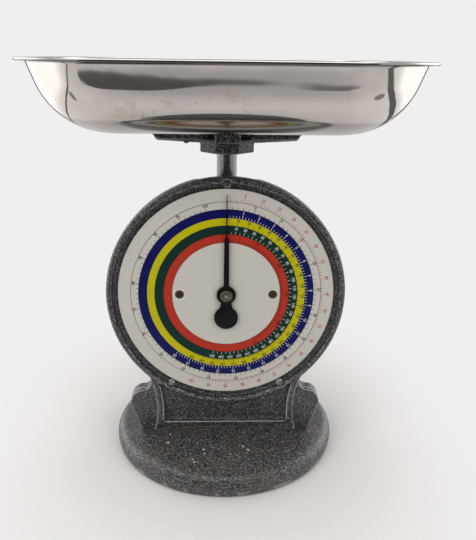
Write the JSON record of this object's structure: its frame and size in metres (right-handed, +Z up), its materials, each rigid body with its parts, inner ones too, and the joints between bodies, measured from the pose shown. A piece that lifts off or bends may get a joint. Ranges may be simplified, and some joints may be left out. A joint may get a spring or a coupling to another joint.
{
  "type": "coin scale",
  "caption": "Counter spring scale for coins: round dial housing with a pointer on a round cast foot, and an oblong steel pan on a post above.",
  "frame": {"origin": "on the table, on the axis of the post and of the round foot", "axes": "+Z up along the post; the dial faces -Y; +X to the right as seen from the front"},
  "size_m": [0.306, 0.234, 0.3322],
  "materials": {
    "cast_paint": "dark grey hammered paint over rough castings",
    "post_paint": "dark grey hammered paint on steel",
    "pan_steel": "polished stainless sheet",
    "dial_enamel": "cream printed enamel with coloured rings",
    "pointer_black": "satin black",
    "rubber": "matt",
    "zinc_steel": "plain zinc plate",
    "aged_screw": "dark, lightly rusted",
    "brass": "dull brass",
    "spring_steel": "oiled spring wire"
  },
  "bodies": {
    "housing": {"base": "cast_paint", "feet": "rubber", "base_bolts": "zinc_steel", "front_housing": "cast_paint", "bezel_screws": "aged_screw", "rear_housing": "cast_paint", "back_cover": "post_paint", "cover_screws": "zinc_steel", "dial_plate": "dial_enamel", "dial_screws": "aged_screw", "front_plate": "zinc_steel", "rear_plate": "zinc_steel", "frame_pillars": "zinc_steel", "frame_nuts": "zinc_steel", "frame_screws": "zinc_steel", "front_bush": "brass", "arbor_bridge": "zinc_steel", "rear_bush": "brass", "bridge_screws": "zinc_steel", "lever_pivots": "zinc_steel", "zero_bush": "brass", "hanger": "zinc_steel", "top_plugs": "zinc_steel", "top_nuts": "zinc_steel", "left_spring": "spring_steel", "right_spring": "spring_steel"},
    "weigher": {"stem": "post_paint", "stem_washer": "zinc_steel", "stem_nut": "zinc_steel", "pan_support": "cast_paint", "support_screw": "aged_screw", "carriage": "zinc_steel", "carriage_pins": "zinc_steel", "bottom_plugs": "zinc_steel", "bottom_nuts": "zinc_steel", "rack": "brass", "rack_pin": "zinc_steel", "rack_spring": "spring_steel", "rack_spring_screw": "zinc_steel"},
    "pointer_group": {"arbor": "zinc_steel", "pinion": "brass", "pointer": "pointer_black", "pointer_nut": "brass"},
    "upper_lever": {"upper_lever": "zinc_steel"},
    "lower_lever": {"lower_lever": "zinc_steel"},
    "pan": {"pan": "pan_steel"},
    "zero_adjuster": {"zero_screw": "zinc_steel", "zero_knob": "brass"}
  },
  "joints": [
    {"name": "weigh_slide", "type": "slide", "parent": "housing", "child": "weigher", "axis": [0, 0, -1], "range_m": [0, 0.01466], "stiffness_N_per_m": 7568, "springref_m": -0.0027, "deforming": ["left_spring", "right_spring"]},
    {"name": "pointer_turn", "type": "hinge", "parent": "housing", "child": "pointer_group", "pos_m": [0, -0.017, 0.1442], "axis": [0, 1, 0], "range_deg": [0, 350]},
    {"name": "upper_lever_swing", "type": "hinge", "parent": "housing", "child": "upper_lever", "pos_m": [-0.042, 0.00875, 0.18067], "axis": [0, 1, 0], "range_deg": [0, 14.66]},
    {"name": "lower_lever_swing", "type": "hinge", "parent": "housing", "child": "lower_lever", "pos_m": [-0.042, 0.00875, 0.10287], "axis": [0, 1, 0], "range_deg": [0, 14.66]},
    {"name": "pan_lift", "type": "slide", "parent": "weigher", "child": "pan", "axis": [0, 0, 1], "range_m": [0, 0.1]},
    {"name": "zero_turn", "type": "hinge", "parent": "housing", "child": "zero_adjuster", "pos_m": [0, 0.018, 0.24], "axis": [0, 0, 1], "range_deg": [-180, 180]}
  ],
  "couplings": [
    {"joint": "pointer_turn", "follows": "weigh_slide", "rad_per_m": 416.67},
    {"joint": "upper_lever_swing", "follows": "weigh_slide", "rad_per_m": 17.447},
    {"joint": "lower_lever_swing", "follows": "weigh_slide", "rad_per_m": 17.447}
  ]
}
